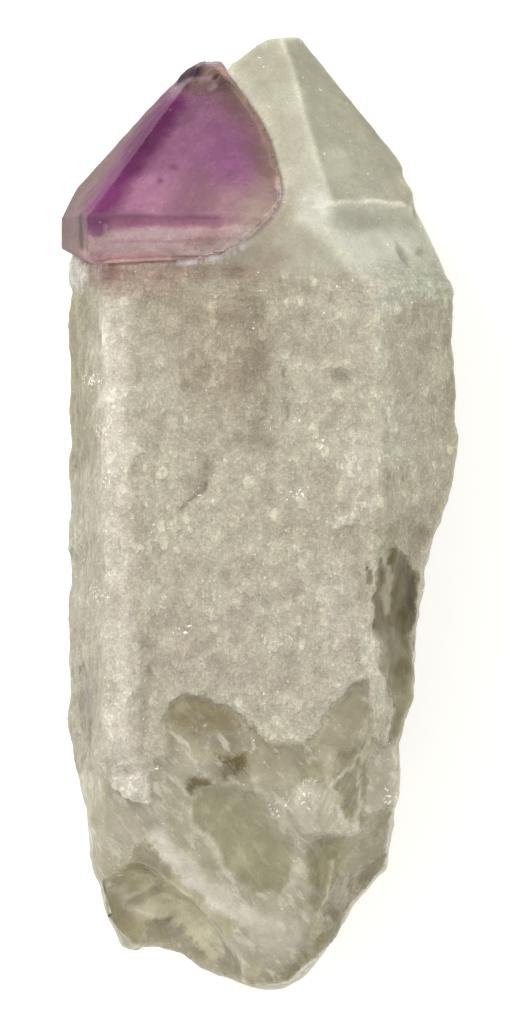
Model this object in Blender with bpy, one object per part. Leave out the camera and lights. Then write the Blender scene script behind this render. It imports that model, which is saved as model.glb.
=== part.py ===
"""An amethyst scepter: a milky quartz prism with its own pyramid, and a clear purple cap on its upper left shoulder.

The crystal lies on its back face, with its c axis along +Y and its tips at the +Y end. While it is shaped, lengths
are in millimetres and the back face lies at z = 0. Many places are given as a viewer sees them who looks down on the
front face, a little from the right: u is to the right and v is towards the tips, from the middle of what they see.
"""

import math

import bmesh
import bpy
import numpy as np
from mathutils import Matrix, Vector, noise

MM = 0.001

# Driving dimensions
LENGTH = 100.0
THICKNESS = 30.0
VIEW_TILT_DEGREES = 15.0

# Where the viewer sees the prism's long edges
LEFT_EDGE_U = -20.0
FRONT_LEFT_EDGE_U = -16.1
FRONT_RIGHT_EDGE_U = 12.2
RIGHT_EDGE_U = 20.4

# The angle between a pyramid face of quartz and its c axis, and where the pyramids start
LEAN = 38.2
STEM_PYRAMID_START = 30.5
SHOULDER_START = 23.4
CORE_START = 23.6
CAP_BASE_LINE = 31.0

# The cap stands proud of the prism, and clear of the stem by a gap under it and another along its suture
CAP_PROUD = 0.5
CORE_GAP = 0.35
SUTURE_GAP = 0.5

# How far apart the planes lie that cut the stem's faces into a net, along x, y and z
NET_SPACING = (1.9, 1.8, 2.6)
NET_SNAP = 0.12

VIEW_TILT = math.radians(VIEW_TILT_DEGREES)
SIXTY = math.radians(60)

# Named dents (below 0) and bumps (above 0) on the seen side: middle u and v, half sizes, turn in degrees, height
SEEN_MARKS = {
    "right spur": (20.4, 13.3, 1.0, 0.8, 0, 1.0),
    "right bump": (20.2, 8.0, 1.2, 2.2, 0, 0.35),
    "smoky window": (14.3, -8.6, 2.3, 4.6, -4, -1.0),
    "window rim": (13.2, -2.6, 3.4, 2.0, 20, -0.5),
    "window satellite": (11.5, -6.9, 0.6, 1.2, 0, -0.3),
    "right hollow": (17.6, -8.5, 2.4, 6.0, 0, -0.8),
    "right strip": (14.6, -18.5, 1.5, 5.5, 6, -0.5),
    "left lump": (-17.9, 13.2, 1.0, 1.6, 0, 0.45),
    "left notch": (-19.6, -4.7, 0.9, 0.8, 0, -0.6),
    "spindle window": (-18.1, -20.8, 0.9, 4.2, -8, -0.7),
    "diagonal groove": (-6.5, 3.0, 0.9, 3.2, -36, -0.45),
    "right notch": (8.4, 14.2, 0.8, 0.8, 0, -0.35),
    "vertical crack": (2.3, 12.2, 0.7, 3.2, 0, -0.3),
    "long groove": (-11.8, -18.5, 0.8, 5.5, 0, -0.4),
    "left ridge": (-14.9, 0.0, 1.3, 30.0, 0, 0.3),
    "glass patch": (-4.7, -21.8, 4.2, 2.4, -12, -1.1),
    "brown hollow": (-3.2, -26.4, 2.0, 1.6, 0, -1.0),
    "overhanging chunk": (-12.7, -28.6, 2.2, 1.5, -25, 0.9),
    "green facet": (-1.5, -33.5, 4.2, 5.5, 30, -1.2),
    "pale lump": (4.9, -31.2, 2.6, 2.2, 0, 0.8),
    "right ledge": (8.7, -28.4, 2.2, 3.6, -25, -0.8),
    "low block": (8.9, -39.4, 1.9, 1.9, 0, 0.7),
    "low pale lump": (-1.0, -43.5, 4.5, 2.2, -20, 0.6),
    "tip chip": (15.5, 35.4, 0.8, 1.2, 0, -0.5),
    "shoulder chip": (16.9, 31.8, 0.6, 1.1, 0, -0.5),
    "shoulder pit": (15.1, 27.2, 0.8, 1.1, 30, -0.35),
}


def seen(u, v, z):
    """The point at height z that the viewer sees at (u, v)."""
    return Vector(((u + z * math.sin(VIEW_TILT)) / math.cos(VIEW_TILT), v, z))


def slope_fall(distance, lean=LEAN):
    """How far a face that leans falls along the given length of the c axis."""
    return distance * math.tan(math.radians(lean))


def smooth_step(low, high, value):
    t = max(0.0, min(1.0, (value - low) / (high - low)))
    return t * t * (3 - 2 * t)


class Face:
    """A flat crystal face or break. Its azimuth turns round the c axis from +Z towards +X. Its lean is the angle
    between the face and the c axis: 0 on a prism face, above 0 towards the tip and below 0 towards the base."""

    def __init__(self, azimuth, lean, through):
        turn, tilt = math.radians(azimuth), math.radians(lean)
        across = Vector((math.sin(turn), 0.0, math.cos(turn)))
        self.normal = across * math.cos(tilt) + Vector((0.0, math.sin(tilt), 0.0))
        self.through = Vector(through)

    def moved(self, distance):
        copy = Face(0, 0, self.through + self.normal * distance)
        copy.normal = self.normal
        return copy


def prism_edges():
    """The four long edges away from the back face: left, front left, front right and right."""
    front_left = seen(FRONT_LEFT_EDGE_U, 0, THICKNESS)
    front_right = seen(FRONT_RIGHT_EDGE_U, 0, THICKNESS)
    left_width = (FRONT_LEFT_EDGE_U - LEFT_EDGE_U) / math.cos(SIXTY + VIEW_TILT)
    right_width = (RIGHT_EDGE_U - FRONT_RIGHT_EDGE_U) / math.cos(SIXTY - VIEW_TILT)
    left = front_left - Vector((math.cos(SIXTY), 0, math.sin(SIXTY))) * left_width
    right = front_right + Vector((math.cos(SIXTY), 0, -math.sin(SIXTY))) * right_width
    return left, front_left, front_right, right


LEFT, FRONT_LEFT, FRONT_RIGHT, RIGHT = prism_edges()


def along(edge, y):
    """The point of a long edge at y."""
    return Vector((edge.x, y, edge.z))


def on_front_pyramid(u, v):
    """The point of the stem's front pyramid face that the viewer sees at (u, v)."""
    return seen(u, v, THICKNESS - slope_fall(v - STEM_PYRAMID_START))


def prism_faces():
    return [
        Face(0, 0, FRONT_LEFT),
        Face(60, 0, RIGHT),
        Face(120, 0, RIGHT),
        Face(180, 0, (0, 0, 0)),
        Face(-120, 0, LEFT),
        Face(-60, 0, LEFT),
    ]


def tall_point_faces():
    """The narrow upper crystal, whose broken tip is the highest point of the specimen."""
    ridge_lean = 40.1
    riser_drop = 9.0
    ridge = on_front_pyramid(4.9, 41.2)
    out = Vector((math.sin(SIXTY), 0, math.cos(SIXTY)))
    riser = ridge - Vector((0, riser_drop, 0)) + out * slope_fall(riser_drop, ridge_lean)
    right_edge = (13.9, 43.0, 13.3)
    right_side = (19.7, 36.4, 14.5)
    return [
        Face(0, LEAN, (0, STEM_PYRAMID_START, THICKNESS)),
        Face(60, ridge_lean, ridge),
        Face(60, 0, riser),
        Face(120, 34, right_edge),
        Face(120, 7, right_side),
        Face(180, LEAN, (0, 39.5, 0)),
        Face(-120, 32, on_front_pyramid(-2.4, 47.7)),
        Face(0, 86, seen(2.4, LENGTH / 2 - 0.2, THICKNESS / 2)),
    ]


def shoulder_faces():
    """The wide crystal's right shoulder, which steps out below the tall point."""
    shoulder_top = 32.0
    return [
        Face(0, LEAN, (0, STEM_PYRAMID_START, THICKNESS)),
        Face(60, LEAN, along(RIGHT, SHOULDER_START)),
        Face(120, 14.4, along(RIGHT, SHOULDER_START)),
        Face(0, 90, (0, shoulder_top, 0)),
    ]


def core_faces():
    """The stem's tip inside the cap. It lies deep under the cap's left and comes near its surface at the right."""
    return [
        Face(-11, LEAN, along(FRONT_LEFT, CORE_START + 0.6)),
        Face(-60, LEAN, along(LEFT, CORE_START)),
        Face(-120, LEAN, along(LEFT, CORE_START)),
        Face(180, LEAN, (0, 33.0, 0)),
        Face(60, LEAN, along(RIGHT, CORE_START - 1.6)),
        Face(120, LEAN, along(RIGHT, CORE_START - 1.6)),
    ]


def base_faces():
    """The breaks round the lower end. The first five make its seen outline."""
    right, left = 90 + VIEW_TILT_DEGREES, -90 + VIEW_TILT_DEGREES
    return [
        Face(right, -10, seen(20.3, 4.4, RIGHT.z)),
        Face(right, -39, seen(14.3, -35.5, 12)),
        Face(left, -13.7, seen(-20.0, -23.2, LEFT.z)),
        Face(left, -72.8, seen(-13.5, -45.8, 12)),
        Face(0, -86, (0, -LENGTH / 2, 10)),
        Face(-8, -26, seen(-2.0, -27.0, THICKNESS)),
        Face(36, -17, seen(9.6, -25.0, THICKNESS)),
        Face(-38, -20, seen(-12.2, -31.0, THICKNESS)),
        Face(180, -42, (0, -42.0, 0)),
        Face(62, -33, seen(13.8, -33.5, 22)),
    ]


def cap_faces():
    """The outside of the cap: a short prism that stands proud of the stem, under its own chipped pyramid."""
    top = THICKNESS + CAP_PROUD
    left_width = 10.9
    front_left = seen(-17.9, CAP_BASE_LINE, top)
    left = front_left - Vector((math.cos(SIXTY), 0, math.sin(SIXTY))) * left_width
    chip_v = 45.1
    chip_height = top - slope_fall(chip_v - CAP_BASE_LINE)
    prism = [
        Face(0, 0, front_left),
        Face(-60, 0, front_left),
        Face(-84, 0, left),
        Face(-120, 0, LEFT).moved(CAP_PROUD),
        Face(180, 0, (0, 0, CAP_PROUD)),
    ]
    pyramid = [
        Face(0, LEAN, front_left),
        Face(-60, 42.6, front_left),
        Face(-84, 14, left),
        Face(-120, LEAN, (-10.2, 39.7, 15.0)),
        Face(180, LEAN, (0, 33.5, 0)),
    ]
    chips = [
        Face(-22, 58, seen(-6.9, chip_v, chip_height)),
        Face(0, 84, seen(-5.6, 47.0, chip_height - 2.0)),
        Face(60, 60, seen(-4.1, 46.4, chip_height - 1.5)),
    ]
    return prism + pyramid + chips


def cap_outline():
    """The cap's outline as the viewer sees it, clockwise. Its left and top run past the cap's own faces."""
    suture = [(-3.6, 46.9), (-1.4, 43.9), (0.5, 41.1), (1.5, 38.6), (2.2, 35.9), (2.6, 33.9)]
    lower_right = [(2.5, 32.3), (1.5, 30.9), (-0.3, 29.1), (-2.0, 27.6), (-3.9, 26.7)]
    base = [(-6.4, 26.3), (-8.4, 26.3), (-11.5, 26.7), (-15.7, 26.6)]
    lower_left_point = [(-16.3, 25.8), (-17.3, 25.8), (-18.4, 26.8), (-20.4, 27.5)]
    outside = [(-26.0, 27.5), (-26.0, 55.0), (-5.0, 55.0)]
    return suture + lower_right + base + lower_left_point + outside


def widened(outline, distance):
    """A clockwise outline whose sides have all moved outwards by a distance."""
    moved = []
    for i, corner in enumerate(outline):
        before = (Vector(corner) - Vector(outline[i - 1])).normalized()
        after = (Vector(outline[(i + 1) % len(outline)]) - Vector(corner)).normalized()
        out_before, out_after = Vector((-before.y, before.x)), Vector((-after.y, after.x))
        moved.append(Vector(corner) + (out_before + out_after) * distance / (1 + out_before.dot(out_after)))
    return moved


def distance_to_outline(point, outline):
    """How far outside an outline a point lies, or 0 inside it."""
    inside = False
    nearest = math.inf
    for i, start in enumerate(outline):
        a, b = Vector(start), Vector(outline[(i + 1) % len(outline)])
        if (a.y > point.y) != (b.y > point.y):
            crossing = a.x + (point.y - a.y) * (b.x - a.x) / (b.y - a.y)
            inside = inside != (point.x < crossing)
        t = max(0.0, min(1.0, (point - a).dot(b - a) / (b - a).length_squared))
        nearest = min(nearest, (point - a - (b - a) * t).length)
    return 0.0 if inside else nearest


def new_object(name, bm):
    mesh = bpy.data.meshes.new(name)
    bm.to_mesh(mesh)
    bm.free()
    obj = bpy.data.objects.new(name, mesh)
    bpy.context.collection.objects.link(obj)
    return obj


def cut_from_block(name, faces, size=160.0):
    """A closed polyhedron: what is left of a block once each face has cut it."""
    bm = bmesh.new()
    bmesh.ops.create_cube(bm, size=size)
    for face in faces:
        geometry = bm.verts[:] + bm.edges[:] + bm.faces[:]
        cut = bmesh.ops.bisect_plane(
            bm, geom=geometry, dist=1e-5, plane_co=face.through, plane_no=face.normal, clear_outer=True
        )
        rim = [piece for piece in cut["geom_cut"] if isinstance(piece, bmesh.types.BMEdge)]
        if rim:
            bmesh.ops.edgeloop_fill(bm, edges=rim)
    bmesh.ops.recalc_face_normals(bm, faces=bm.faces[:])
    return new_object(name, bm)


def head(name, faces, low):
    """A crystal's end, as wide as its faces allow, down to a flat cut far below."""
    return cut_from_block(name, faces + [Face(0, -90, (0, low, 0))])


def column(name, outline, reach=60.0):
    """A long column with the given outline, seen end on by the viewer."""
    bm = bmesh.new()
    low = [bm.verts.new((u, v, -reach)) for u, v in outline]
    high = [bm.verts.new((u, v, reach)) for u, v in outline]
    bm.faces.new(low)
    bm.faces.new(high)
    for i in range(len(outline)):
        j = (i + 1) % len(outline)
        bm.faces.new((low[i], low[j], high[j], high[i]))
    bmesh.ops.rotate(bm, verts=bm.verts[:], cent=(0, 0, 0), matrix=Matrix.Rotation(VIEW_TILT, 3, "Y"))
    bmesh.ops.recalc_face_normals(bm, faces=bm.faces[:])
    return new_object(name, bm)


def scoop(name, centre, size, turn):
    """The cutter of a shell-like hollow: an ellipsoid."""
    bm = bmesh.new()
    bmesh.ops.create_icosphere(bm, subdivisions=3, radius=1.0)
    bmesh.ops.scale(bm, verts=bm.verts[:], vec=size)
    bmesh.ops.rotate(bm, verts=bm.verts[:], cent=(0, 0, 0), matrix=Matrix.Rotation(math.radians(turn), 3, "Z"))
    bmesh.ops.translate(bm, verts=bm.verts[:], vec=centre)
    return new_object(name, bm)


def combine(obj, operation, *others):
    """Join, cut or intersect an object with others, which are used up."""
    for other in others:
        modifier = obj.modifiers.new(operation.title(), "BOOLEAN")
        modifier.operation = operation
        modifier.object = other
    depsgraph = bpy.context.evaluated_depsgraph_get()
    mesh = bpy.data.meshes.new_from_object(obj.evaluated_get(depsgraph))
    obj.modifiers.clear()
    obj.data = mesh
    for other in others:
        bpy.data.objects.remove(other)


def cut_into_net(obj):
    """Cut a solid's faces along evenly spaced planes, so that relief can move the points between its sharp edges."""
    bm = bmesh.new()
    bm.from_mesh(obj.data)
    bmesh.ops.dissolve_limit(bm, angle_limit=math.radians(0.2), verts=bm.verts[:], edges=bm.edges[:])
    for axis, spacing in enumerate(NET_SPACING):
        normal = Vector([1.0 if i == axis else 0.0 for i in range(3)])
        low = min(vertex.co[axis] for vertex in bm.verts)
        high = max(vertex.co[axis] for vertex in bm.verts)
        count = round((high - low) / spacing)
        for step in range(1, count):
            place = normal * (low + (high - low) * step / count)
            geometry = bm.verts[:] + bm.edges[:] + bm.faces[:]
            bmesh.ops.bisect_plane(bm, geom=geometry, dist=NET_SNAP, plane_co=place, plane_no=normal)
    bmesh.ops.triangulate(bm, faces=bm.faces[:])
    bm.to_mesh(obj.data)
    bm.free()


def mark_height(u, v, middle_u, middle_v, half_u, half_v, turn, height):
    """What a round-topped mark adds at (u, v)."""
    c, s = math.cos(math.radians(turn)), math.sin(math.radians(turn))
    du, dv = u - middle_u, v - middle_v
    along_u, along_v = (du * c + dv * s) / half_u, (dv * c - du * s) / half_v
    return height * math.exp(-((along_u**2 + along_v**2) ** 1.5))


def growth_relief(point):
    """The low lumps and cross ledges of the prism faces."""
    lump_height, lump_scale = 0.34, 0.22
    ledge_height, ledge_scale = 0.16, 0.75
    lumps = noise.fractal(point * lump_scale, 1.0, 2.0, 3) * lump_height
    across = 0.05
    ledges = noise.noise(Vector((point.x * across, point.y * ledge_scale, point.z * across + 7.0)))
    return lumps + ledges * ledge_height


def break_relief(point):
    """The steps and shell-like ripples of the broken end."""
    step_height, ripple_height, ripples_per_radian = 0.55, 0.12, 1.35
    stretched = Vector((point.x * 0.11, point.y * 0.16, point.z * 0.11 + 3.0))
    steps = noise.ridged_multi_fractal(stretched, 0.9, 2.1, 3, 0.9, 1.8) - 1.0
    ripples = math.sin((point - seen(-12.8, -35.0, 26.0)).length * ripples_per_radian)
    return steps * step_height + ripples * ripple_height


def roughen(stem):
    """Move the net's points along their normals, except where the stem rests or meets the cap."""
    viewer = Vector((math.sin(VIEW_TILT), 0, math.cos(VIEW_TILT)))
    outline = cap_outline()
    vertices = stem.data.vertices
    normals = [vertex.normal.copy() for vertex in vertices]
    for vertex, normal in zip(vertices, normals):
        point = vertex.co.copy()
        u = point.x * math.cos(VIEW_TILT) - point.z * math.sin(VIEW_TILT)
        above_rest = smooth_step(0.4, 3.0, point.z)
        off_cap = smooth_step(0.4, 2.5, distance_to_outline(Vector((u, point.y)), outline))
        broken = smooth_step(-24.0, -30.0, point.y + 3.0 * noise.noise(point * 0.15))
        below_pyramids = smooth_step(24.0, 21.0, point.y)
        height = below_pyramids * (1 - broken) * growth_relief(point) + broken * break_relief(point)
        if normal.dot(viewer) > 0.02:
            height += sum(mark_height(u, point.y, *mark) for mark in SEEN_MARKS.values())
        vertex.co = point + normal * height * above_rest * off_cap


def finish(obj, name, colour, roughness, transmission=0.0):
    material = bpy.data.materials.new(name)
    material.use_nodes = True
    shader = material.node_tree.nodes["Principled BSDF"]
    shader.inputs["Base Color"].default_value = (*colour, 1)
    shader.inputs["Metallic"].default_value = 0.0
    shader.inputs["Roughness"].default_value = roughness
    shader.inputs["Transmission Weight"].default_value = transmission
    obj.data.materials.clear()
    obj.data.materials.append(material)


def make_stem():
    """The milky stem: its tip under the cap, the tall point and the shoulder, within one prism and its breaks."""
    shoulder_inset = 0.03
    stem = head("quartz_stem", core_faces(), -70)
    points = head("tall_point", tall_point_faces(), -71)
    shoulder = head("shoulder", [face.moved(-shoulder_inset) for face in shoulder_faces()], -72)
    cap_room = column("cap_room", widened(cap_outline(), SUTURE_GAP / 2))
    combine(points, "UNION", shoulder)
    combine(points, "DIFFERENCE", cap_room)
    combine(stem, "UNION", points)
    combine(stem, "INTERSECT", cut_from_block("prism", prism_faces() + base_faces()))
    left_scoop = scoop("left_scoop", seen(-9.6, -46.5, 27), (5.6, 12.0, 13.5), 38)
    notch = scoop("notch", seen(-9.8, -50.2, 12), (4.2, 5.6, 14), 30)
    combine(stem, "DIFFERENCE", left_scoop, notch)
    cut_into_net(stem)
    roughen(stem)
    finish(stem, "milky_quartz", (0.52, 0.47, 0.37), 0.6)
    return stem


def make_cap():
    """The amethyst cap, hollowed for the stem's tip."""
    cap = cut_from_block("amethyst_cap", cap_faces())
    core_room = [face.moved(CORE_GAP) for face in prism_faces() + core_faces()]
    combine(cap, "INTERSECT", column("cap_column", widened(cap_outline(), -SUTURE_GAP / 2)))
    combine(cap, "DIFFERENCE", cut_from_block("core_room", core_room))
    finish(cap, "amethyst", (0.24, 0.06, 0.22), 0.1, 0.9)
    return cap


def to_metres(objects):
    """Put the origin under the middle of the specimen, and turn its millimetres into metres."""
    points = np.array([vertex.co for obj in objects for vertex in obj.data.vertices])
    middle = (points.min(axis=0) + points.max(axis=0)) / 2
    shift = Matrix.Translation((-middle[0], -middle[1], 0.0))
    for obj in objects:
        obj.data.transform(Matrix.Scale(MM, 4) @ shift)


def main():
    for old in list(bpy.data.objects):
        bpy.data.objects.remove(old)
    to_metres([make_stem(), make_cap()])


main()
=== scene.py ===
# Amethyst scepter: a milky quartz prism with its own point and a clear purple cap, lying on its back.

import math

import bmesh
import bpy
import numpy as np
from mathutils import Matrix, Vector, noise


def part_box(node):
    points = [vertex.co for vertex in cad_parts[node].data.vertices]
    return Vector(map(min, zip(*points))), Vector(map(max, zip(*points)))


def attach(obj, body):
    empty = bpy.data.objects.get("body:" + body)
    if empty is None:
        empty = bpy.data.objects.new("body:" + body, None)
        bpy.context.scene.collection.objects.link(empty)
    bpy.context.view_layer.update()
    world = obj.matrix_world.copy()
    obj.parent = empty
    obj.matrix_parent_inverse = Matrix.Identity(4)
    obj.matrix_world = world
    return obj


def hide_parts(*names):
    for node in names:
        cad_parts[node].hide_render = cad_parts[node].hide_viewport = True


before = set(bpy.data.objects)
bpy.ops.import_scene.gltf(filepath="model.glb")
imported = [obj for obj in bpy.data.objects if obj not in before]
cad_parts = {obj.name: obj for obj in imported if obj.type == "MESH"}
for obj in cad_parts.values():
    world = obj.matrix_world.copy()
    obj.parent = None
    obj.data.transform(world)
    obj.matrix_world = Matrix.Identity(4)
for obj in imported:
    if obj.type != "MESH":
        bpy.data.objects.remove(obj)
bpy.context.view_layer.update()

mm = 0.001

# The viewer looks down on the front face, a little from the right. In their view u runs to the right and
# v to the tips, in millimetres, from a point near the middle of the prism.
viewer = {"tilt": math.radians(15), "x": 5.373, "y": 0.013}
toViewer = np.array([math.sin(viewer["tilt"]), 0, math.cos(viewer["tilt"])])


# Helpers for shapes and numbers

def linear(red, green, blue):
    # an 8-bit colour as a shader wants it
    shares = np.array([red, green, blue]) / 255
    return np.where(shares < 0.0404, shares / 12.92, ((shares + 0.055) / 1.055) ** 2.4)


def smoothStep(low, high, value):
    t = np.clip((value - low) / (high - low), 0, 1)
    return t * t * (3 - 2 * t)


def mix(a, b, amount):
    # blend numbers or rows of colours by an amount for each
    return a + (b - a) * (amount[:, None] if np.ndim(a) == 2 else amount)


def bumps(points, size, octaves=3, shift=0.0, stretch=(1, 1, 1)):
    # soft noise of about -1 to 1 whose lumps are about this many millimetres across
    scaled = points / size / np.array(stretch) + shift
    return np.array([noise.fractal(Vector(p), 1.0, 2.0, octaves) for p in scaled])


def seenPlaces(points):
    # where the viewer sees these points, given in millimetres
    x, y, z = (points + [viewer["x"], viewer["y"], 0]).T
    return x * math.cos(viewer["tilt"]) - z * math.sin(viewer["tilt"]), y


def insideOval(u, v, middleU, middleV, halfU, halfV, turn=0):
    # about how far inside an oval each place lies, in millimetres; below 0 outside
    c, s = math.cos(math.radians(turn)), math.sin(math.radians(turn))
    du, dv = u - middleU, v - middleV
    out = np.hypot((du * c + dv * s) / halfU, (dv * c - du * s) / halfV)
    return (1 - out) * min(halfU, halfV)


def alongLine(u, v, start, end):
    # the nearest point of a straight piece, as a distance and as a share of its length
    du, dv = end[0] - start[0], end[1] - start[1]
    t = np.clip(((u - start[0]) * du + (v - start[1]) * dv) / (du * du + dv * dv), 0, 1)
    return np.hypot(u - start[0] - t * du, v - start[1] - t * dv), t


def insidePatch(u, v, corners):
    # how far inside a patch with these corners each place lies, in millimetres; below 0 outside
    nearest = np.full(len(u), 1e9)
    inside = np.zeros(len(u), bool)
    for i, (u1, v1) in enumerate(corners):
        u2, v2 = corners[(i + 1) % len(corners)]
        nearest = np.minimum(nearest, alongLine(u, v, (u1, v1), (u2, v2))[0])
        if v1 != v2:
            crosses = ((v1 > v) != (v2 > v)) & (u < u1 + (v - v1) * (u2 - u1) / (v2 - v1))
            inside ^= crosses
    return np.where(inside, nearest, -nearest)


def besideLine(u, v, points, halfWidth):
    # how far inside a band along a bent line each place lies; below 0 outside
    nearest = np.full(len(u), 1e9)
    for start, end in zip(points, points[1:]):
        nearest = np.minimum(nearest, alongLine(u, v, start, end)[0])
    return halfWidth - nearest


def insideShape(u, v, shape):
    kind, *sizes = shape
    return {"oval": insideOval, "patch": insidePatch, "line": besideLine}[kind](u, v, *sizes)


# Helpers for meshes

def linkObject(name, mesh):
    obj = bpy.data.objects.new(name, mesh)
    bpy.context.scene.collection.objects.link(obj)
    return obj


def evenMesh(obj, spacing):
    # remesh into even small faces and keep the result
    modifier = obj.modifiers.new("Even mesh", "REMESH")
    modifier.mode = "VOXEL"
    modifier.voxel_size = spacing * mm
    mesh = bpy.data.meshes.new_from_object(obj.evaluated_get(bpy.context.evaluated_depsgraph_get()))
    obj.modifiers.clear()
    obj.data = mesh
    return obj


def getPoints(mesh):
    points = np.empty(len(mesh.vertices) * 3, np.float32)
    mesh.vertices.foreach_get("co", points)
    return points.reshape(-1, 3).astype(float) / mm


def setPoints(mesh, points):
    mesh.vertices.foreach_set("co", (points * mm).astype(np.float32).ravel())
    mesh.update()


def getNormals(mesh):
    normals = np.empty(len(mesh.vertices) * 3, np.float32)
    mesh.vertex_normals.foreach_get("vector", normals)
    return normals.reshape(-1, 3).astype(float)


def smoothed(mesh, values, rounds, amount=0.5):
    # move each value towards the mean of its neighbours
    edges = np.empty(len(mesh.edges) * 2, np.int32)
    mesh.edges.foreach_get("vertices", edges)
    a, b = edges.reshape(-1, 2).T
    count = np.bincount(a, minlength=len(values)) + np.bincount(b, minlength=len(values))
    values = values.reshape(len(values), -1).copy()
    for _ in range(rounds):
        for column in range(values.shape[1]):
            old = values[:, column]
            total = np.bincount(a, old[b], len(old)) + np.bincount(b, old[a], len(old))
            values[:, column] = old + (total / count - old) * amount
    return values


def keepInBox(points, node):
    # hold the points inside the CAD node's own box
    low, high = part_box(node)
    return np.clip(points, np.array(low) / mm, np.array(high) / mm)


def storeNumber(mesh, name, values):
    mesh.attributes.new(name, "FLOAT", "POINT").data.foreach_set("value", values.astype(np.float32))


def storeColour(mesh, name, colours):
    rgba = np.ones((len(colours), 4), np.float32)
    rgba[:, :3] = np.clip(colours, 0, 1)
    mesh.attributes.new(name, "FLOAT_COLOR", "POINT").data.foreach_set("color", rgba.ravel())


# Helpers for materials

def newMaterial(name):
    material = bpy.data.materials.new(name)
    material.use_nodes = True
    return material, material.node_tree, material.node_tree.nodes["Principled BSDF"]


def addNode(tree, kind, **inputs):
    # settings and sockets go by name, with _ for a space, or by number, as in0; a socket given is linked
    node = tree.nodes.new("ShaderNode" + kind)
    for name, value in inputs.items():
        if hasattr(node, name):
            setattr(node, name, value)
            continue
        numbered = name.startswith("in") and name[2:].isdigit()
        socket = node.inputs[int(name[2:]) if numbered else name.replace("_", " ")]
        if isinstance(value, bpy.types.NodeSocket):
            tree.links.new(value, socket)
        else:
            socket.default_value = value
    return node


def attribute(tree, name, output="Fac"):
    return addNode(tree, "Attribute", attribute_name=name).outputs[output]


def noiseAt(tree, place, size, detail=3.0, roughness=0.5):
    # noise whose lumps are about this many millimetres across
    node = addNode(tree, "TexNoise", Vector=place, Scale=1 / size / mm, Detail=detail, Roughness=roughness)
    return node.outputs["Fac"]


def ramped(tree, value, low, high, toLow=0.0, toHigh=1.0):
    # a smooth step from one value to the other
    limits = {"in1": low, "in2": high, "in3": toLow, "in4": toHigh}
    return addNode(tree, "MapRange", interpolation_type="SMOOTHSTEP", in0=value, **limits).outputs[0]


def between(tree, amount, low, high):
    # a number between two others
    return addNode(tree, "Mix", data_type="FLOAT", in0=amount, in2=low, in3=high).outputs[0]


def sums(tree, operation, a, b):
    # one sum with two numbers or sockets
    return addNode(tree, "Math", operation=operation, in0=a, in1=b).outputs[0]


def mixed(tree, amount, a, b, way="MIX"):
    # a blend of two colours or sockets
    node = addNode(tree, "Mix", data_type="RGBA", blend_type=way)
    for index, value in ((0, amount), (6, a), (7, b)):
        if isinstance(value, bpy.types.NodeSocket):
            tree.links.new(value, node.inputs[index])
        elif index == 0:
            node.inputs[index].default_value = value
        else:
            node.inputs[index].default_value = (*value, 1)
    return node.outputs[2]


# The stem

capOutline = [
    (-3.6, 46.9), (-1.4, 43.9), (0.5, 41.1), (1.5, 38.6), (2.2, 35.9), (2.6, 33.9), (2.5, 32.3),
    (1.5, 30.9), (-0.3, 29.1), (-2.0, 27.6), (-3.9, 26.7), (-6.4, 26.3), (-8.4, 26.3), (-11.5, 26.7),
    (-15.7, 26.6), (-16.3, 25.8), (-17.3, 25.8), (-18.4, 26.8), (-20.4, 27.5), (-26.0, 27.5),
    (-26.0, 55.0), (-5.0, 55.0),
]

stemLook = {
    "spacing": 0.39,
    "smoothing": 3,
    "lumps": 0.27,
    "hillocks": 0.26,
    "sugar": 0.08,
    "scoops": 0.8,
    "breakStep": 0.22,
    "wander": 0.7,
    # how strongly hollows get painted shade and bump tops get painted light
    "paintedHollowShadeAndTopLight": 1.2,
    "crust": (185, 178, 157),
    "point": (176, 172, 150),
    "rightOfPoint": (155, 151, 128),
    "shoulder": (172, 171, 151),
    "leftFace": (163, 157, 131),
    "rightFace": (172, 166, 143),
    "break": (170, 163, 138),
    "back": (178, 170, 149),
    "underCap": (232, 224, 226),
    "wisp": (204, 199, 180),
    "pointFrom": (25.0, 27.0),
    "shoulderFrom": (21.0, 22.5),
    "stepAt": (32.0, 32.4),
    "grain": 0.15,
    "fineGrain": 0.42,
    "patches": 1.5,
    "widePatches": 5.0,
    "paleLumps": 1.35,
    "smallPaleLumps": 0.62,
    "outlineReach": (5.5, 0.8),
    "joinWidth": 0.95,
    "underCapHeight": 0.5,
    "pinker": (1.015, 0.992, 0.985),
    "greener": (0.99, 1.004, 0.995),
    "glintColour": (0.95, 0.93, 0.86),
    "bumpDepth": 0.16,
    "milkiness": 0.2,
    "ior": 1.54,
}

# Where the crust ends and the broken, glassy end of the prism begins
breakZone = [
    (-22.0, -27.0), (-16.5, -27.2), (-15.3, -28.7), (-14.1, -29.9), (-12.7, -30.1), (-11.5, -30.1),
    (-10.9, -29.6), (-11.2, -28.9), (-10.8, -26.0), (-9.3, -24.8), (-9.0, -22.6), (-9.5, -21.2),
    (-9.4, -19.8), (-8.1, -19.0), (-6.4, -19.0), (-4.5, -19.7), (-3.0, -20.7), (-1.6, -21.5),
    (-0.4, -22.7), (0.8, -23.9), (3.2, -23.9), (5.1, -24.1), (5.9, -22.9), (6.3, -21.5), (7.6, -20.3),
    (8.7, -19.0), (9.6, -17.4), (10.9, -17.2), (11.4, -19.4), (11.8, -23.5), (13.4, -24.4), (22.0, -24.0),
    (22.0, -54.0), (-22.0, -54.0),
]

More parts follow.
